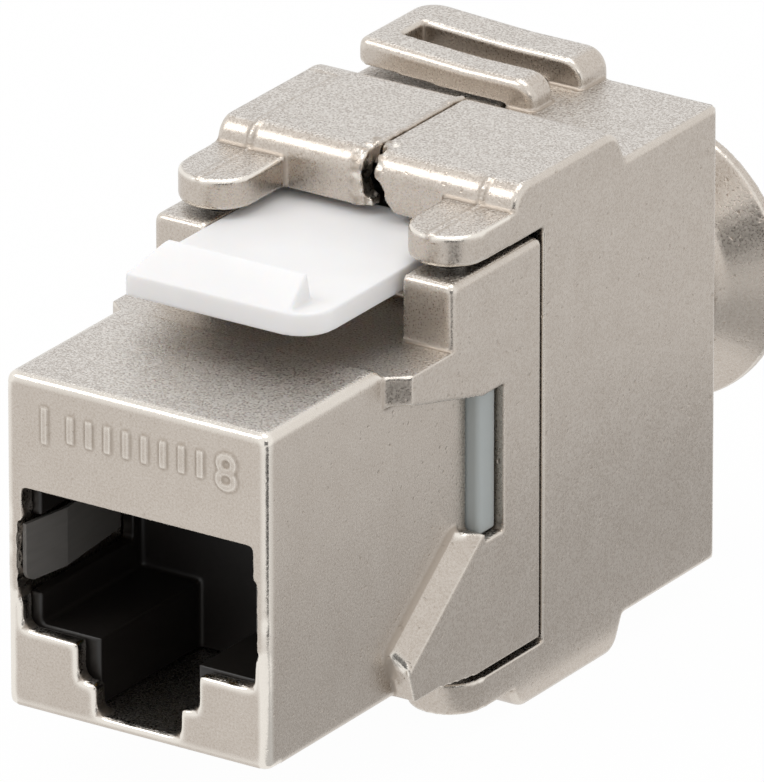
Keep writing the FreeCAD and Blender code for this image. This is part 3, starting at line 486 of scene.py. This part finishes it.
def mark_wear(mesh, hard_shape):
    """Writes how far each point has gone into (1) or out of (-1) the sharp shape; the nickel shows the
    first as polish on worn edges and the second as painted shade in filled corners.
    """
    tree = BVHTree.FromBMesh(hard_shape)
    wear_and_corner_shade = mesh.attributes.new("wear_and_corner_shade", "FLOAT", "POINT")
    depths = []
    for vert in mesh.vertices:
        near, normal, _, _ = tree.find_nearest(vert.co)
        depths.append(-(vert.co - near).dot(normal) / WEAR_AND_SHADE_DEPTH)
    wear_and_corner_shade.data.foreach_set("value", depths)


def soft_skin(node, rounds, triangles, worn=(), lumpy=(), marks=None):
    """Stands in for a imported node, with every edge rounded as on a casting or moulding.

    worn holds boxes, as low corner, high corner and rounds, that are smoothed more, and lumpy
    holds boxes whose edges are rough. marks adds raised marks or parting lines before that.
    """
    hard_shape = welded_millimetres(node)
    if marks:
        marks(hard_shape)
    mesh = bpy.data.meshes.new("skin")
    hard_shape.to_mesh(mesh)
    mesh = with_modifier(mesh, "REMESH", mode="VOXEL", voxel_size=VOXEL)
    skin = bmesh.new()
    skin.from_mesh(mesh)
    for low, high in lumpy:
        roughen(in_box(skin, low, high))
    soften(skin, skin.verts, rounds)
    for low, high, more in worn:
        soften(skin, in_box(skin, low, high), more)
    skin.to_mesh(mesh)
    # a face of the remeshed skin is two triangles
    ratio = min(1.0, triangles / (2 * len(skin.faces)))
    skin.free()
    mesh = with_modifier(mesh, "DECIMATE", ratio=ratio)
    mark_wear(mesh, hard_shape)
    hard_shape.free()
    mesh.transform(Matrix.Scale(MM, 4))
    mesh.shade_smooth()
    mesh.materials.clear()
    mesh.materials.append(FINISHES[SLOTS[node]])
    mesh.name = node + "_skin"
    piece = bpy.data.objects.new(node + "_skin", mesh)
    bpy.context.collection.objects.link(piece)
    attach(piece, BODIES[node])
    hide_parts(node)


def lamp(name, place, size, power):
    """A soft square lamp that faces the object."""
    data = bpy.data.lights.new(name, "AREA")
    data.shape = "SQUARE"
    data.size = size
    data.energy = power
    light = bpy.data.objects.new(name, data)
    bpy.context.collection.objects.link(light)
    light.location = Vector(place)
    light.rotation_mode = "QUATERNION"
    light.rotation_quaternion = (AIM - light.location).to_track_quat("-Z", "Y")
    light.visible_camera = False


def seen_plain(tree):
    """1 for the rays that should meet a plain white background."""
    rays = [
        tree.node("ShaderNodeLightPath", {}, {}, output=f"Is {kind} Ray")
        for kind in ("Camera", "Glossy", "Transmission")
    ]
    return rays[0].at_least(rays[1]).at_least(rays[2])


def white_world():
    """Pale light from all round, which the camera and reflections see as white."""
    world = bpy.data.worlds.new("studio")
    bpy.context.scene.world = world
    world.use_nodes = True
    tree = Tree(world.node_tree)
    level = tree.mix(seen_plain(tree), grey(SKY_LEVEL), grey(1.0))
    sky = tree.node("ShaderNodeBackground", {}, {"Color": level, "Strength": 1.0})
    tree.end(sky, kind="World")


def stage_sheet(name, place, turn, size, material):
    """A flat rectangle that isn't part of the object. Place and size are in metres."""
    shape = bmesh.new()
    bmesh.ops.create_grid(shape, x_segments=1, y_segments=1, size=0.5)
    matrix = Matrix.LocRotScale(Vector(place), turn, Vector((*size, 1)))
    bmesh.ops.transform(shape, matrix=matrix, verts=shape.verts)
    mesh = bpy.data.meshes.new(name)
    shape.to_mesh(mesh)
    shape.free()
    mesh.materials.append(material)
    sheet = bpy.data.objects.new(name, mesh)
    bpy.context.collection.objects.link(sheet)
    return sheet


def pale_floor():
    """A white floor under the lowest point, which keeps the object's shadow."""
    material, tree = surface("floor_white")
    matt = tree.node("ShaderNodeBsdfDiffuse", {}, {"Color": linear(FLOOR_WHITE)})
    cover = seen_plain(tree) * FLOOR_PLAIN
    tree.end(tree.node("ShaderNodeMixShader", {}, {0: cover, 1: matt, 2: tree.glow(1.0)}))
    place = (0, 0, cad_box[0].z - FLOOR_GAP)
    stage_sheet("floor", place, Quaternion(), (FLOOR_SIDE, FLOOR_SIDE), material)


def card(name, place, size, level, standing=False):
    """A plain card, lying or turned to the object, that only reflections show."""
    place = Vector(place) * MM
    turn = (AIM - place).to_track_quat("Z", "Y") if standing else Quaternion()
    material, tree = surface(name)
    tree.end(tree.glow(level))
    paper = stage_sheet(name, place, turn, [side * MM for side in size], material)
    paper.visible_camera = False
    paper.visible_diffuse = False
    paper.visible_shadow = False


def photo_camera():
    """The camera at the photograph's angle."""
    data = bpy.data.cameras.new("camera")
    data.lens = LENS
    data.sensor_width = SENSOR
    data.clip_start = NEAREST
    data.clip_end = FARTHEST
    camera = bpy.data.objects.new("camera", data)
    bpy.context.collection.objects.link(camera)
    turn, tilt = math.radians(AZIMUTH), math.radians(ELEVATION)
    back = Vector((math.sin(turn) * math.cos(tilt), -math.cos(turn) * math.cos(tilt), math.sin(tilt)))
    camera.location = AIM + back * DISTANCE
    camera.rotation_mode = "QUATERNION"
    camera.rotation_quaternion = (-back).to_track_quat("-Z", "Y")
    bpy.context.scene.camera = camera


def studio():
    """White surroundings, soft lamps, a pale floor and the cards round it."""
    white_world()
    for name, place, size, power in LAMPS:
        lamp(name, place, size, power)
    pale_floor()
    for name, place, size, level in LYING_CARDS:
        card(name, place, size, level)
    card(*STANDING_CARD, standing=True)


bpy.context.scene.view_settings.view_transform = "Standard"
photo_camera()
studio()
finish_nodes()
soft_skin(
    "front_housing", rounds=4, triangles=190000,
    worn=HOUSING_WORN, lumpy=PORT_MOUTH, marks=raise_pin_marks,
)
soft_skin(
    "door_left", rounds=4, triangles=150000,
    worn=EARS_WORN, lumpy=SEAM_MOUTH, marks=left_door_flash,
)
soft_skin(
    "door_right", rounds=4, triangles=160000,
    worn=EARS_WORN, lumpy=SEAM_MOUTH, marks=right_door_flash,
)
soft_skin("latch", rounds=4, triangles=60000)
soft_skin("port_insert", rounds=3, triangles=100000)
soft_skin("terminal_block", rounds=5, triangles=60000)
